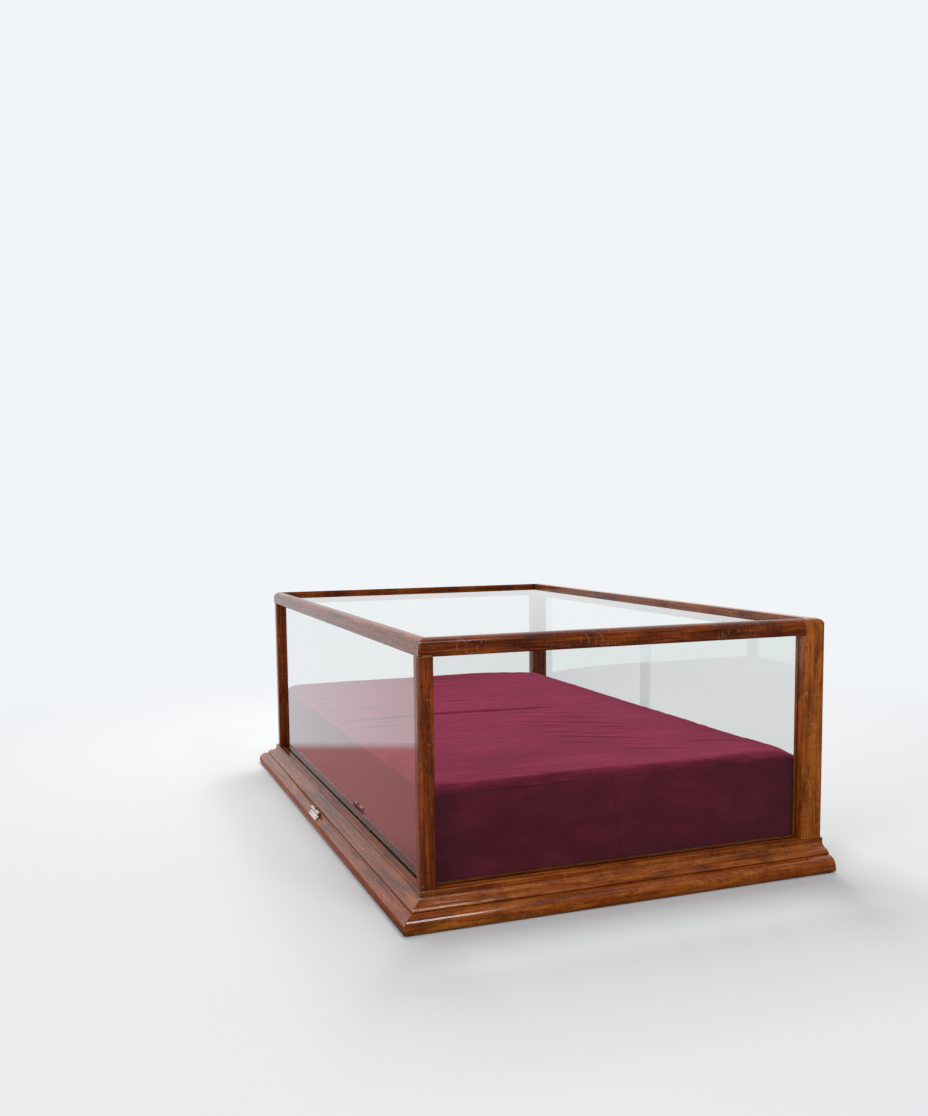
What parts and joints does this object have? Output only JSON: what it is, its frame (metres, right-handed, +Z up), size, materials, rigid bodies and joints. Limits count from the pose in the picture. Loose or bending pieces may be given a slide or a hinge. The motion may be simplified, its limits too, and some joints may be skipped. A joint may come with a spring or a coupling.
{
  "type": "counter display case",
  "caption": "Rectangular glazed counter display case in moulded mahogany, with plate-glass sides and top, by-pass sliding glass rear doors and a raised cloth-covered bed.",
  "frame": {"origin": "centre of the footprint, on the surface the case stands on", "axes": "+X along the length, to the right as seen from the customers' side; -Y is the customers' side with the small catch; +Y is the plain rear with the sliding doors; +Z up"},
  "size_m": [0.9138, 0.5679, 0.3195],
  "materials": {
    "mahogany": "old shellac, worn on the arrises",
    "pine": "bare planed softwood",
    "plate_glass": "clear polished plate",
    "velvet": "burgundy cotton velvet",
    "baize": "green wool baize",
    "nickel": "old nickel plate",
    "brass": "dull brass",
    "steel": "plain steel"
  },
  "bodies": {
    "case": {"plinth_front": "mahogany", "plinth_rear": "mahogany", "plinth_left_end": "mahogany", "plinth_right_end": "mahogany", "rail_front": "mahogany", "rail_rear": "mahogany", "rail_left_end": "mahogany", "rail_right_end": "mahogany", "post_front_left": "mahogany", "post_front_right": "mahogany", "post_rear_left": "mahogany", "post_rear_right": "mahogany", "door_sill": "mahogany", "base_board": "pine", "glue_blocks": "pine", "bed_front_board": "pine", "bed_rear_board": "pine", "bed_left_board": "pine", "bed_right_board": "pine", "bed_bearers": "pine", "bed_lid": "pine", "glass_top": "plate_glass", "glass_front": "plate_glass", "glass_left_end": "plate_glass", "glass_right_end": "plate_glass", "bed_pad": "velvet", "skirt_front": "velvet", "skirt_rear": "velvet", "skirt_left": "velvet", "skirt_right": "velvet", "baize_pads": "baize", "glazing_pins": "brass", "catch_plate": "nickel", "catch_screws": "nickel", "post_screws": "steel"},
    "door_left": {"door_left": "plate_glass"},
    "door_right": {"door_right": "plate_glass"},
    "catch_bolt": {"catch_bolt": "nickel"}
  },
  "joints": [
    {"name": "door_left_slide", "type": "slide", "parent": "case", "child": "door_left", "axis": [1, 0, 0], "range_m": [0, 0.4]},
    {"name": "door_right_slide", "type": "slide", "parent": "case", "child": "door_right", "axis": [-1, 0, 0], "range_m": [0, 0.4]},
    {"name": "catch_bolt_slide", "type": "slide", "parent": "case", "child": "catch_bolt", "axis": [1, 0, 0], "range_m": [0, 0.01]}
  ]
}
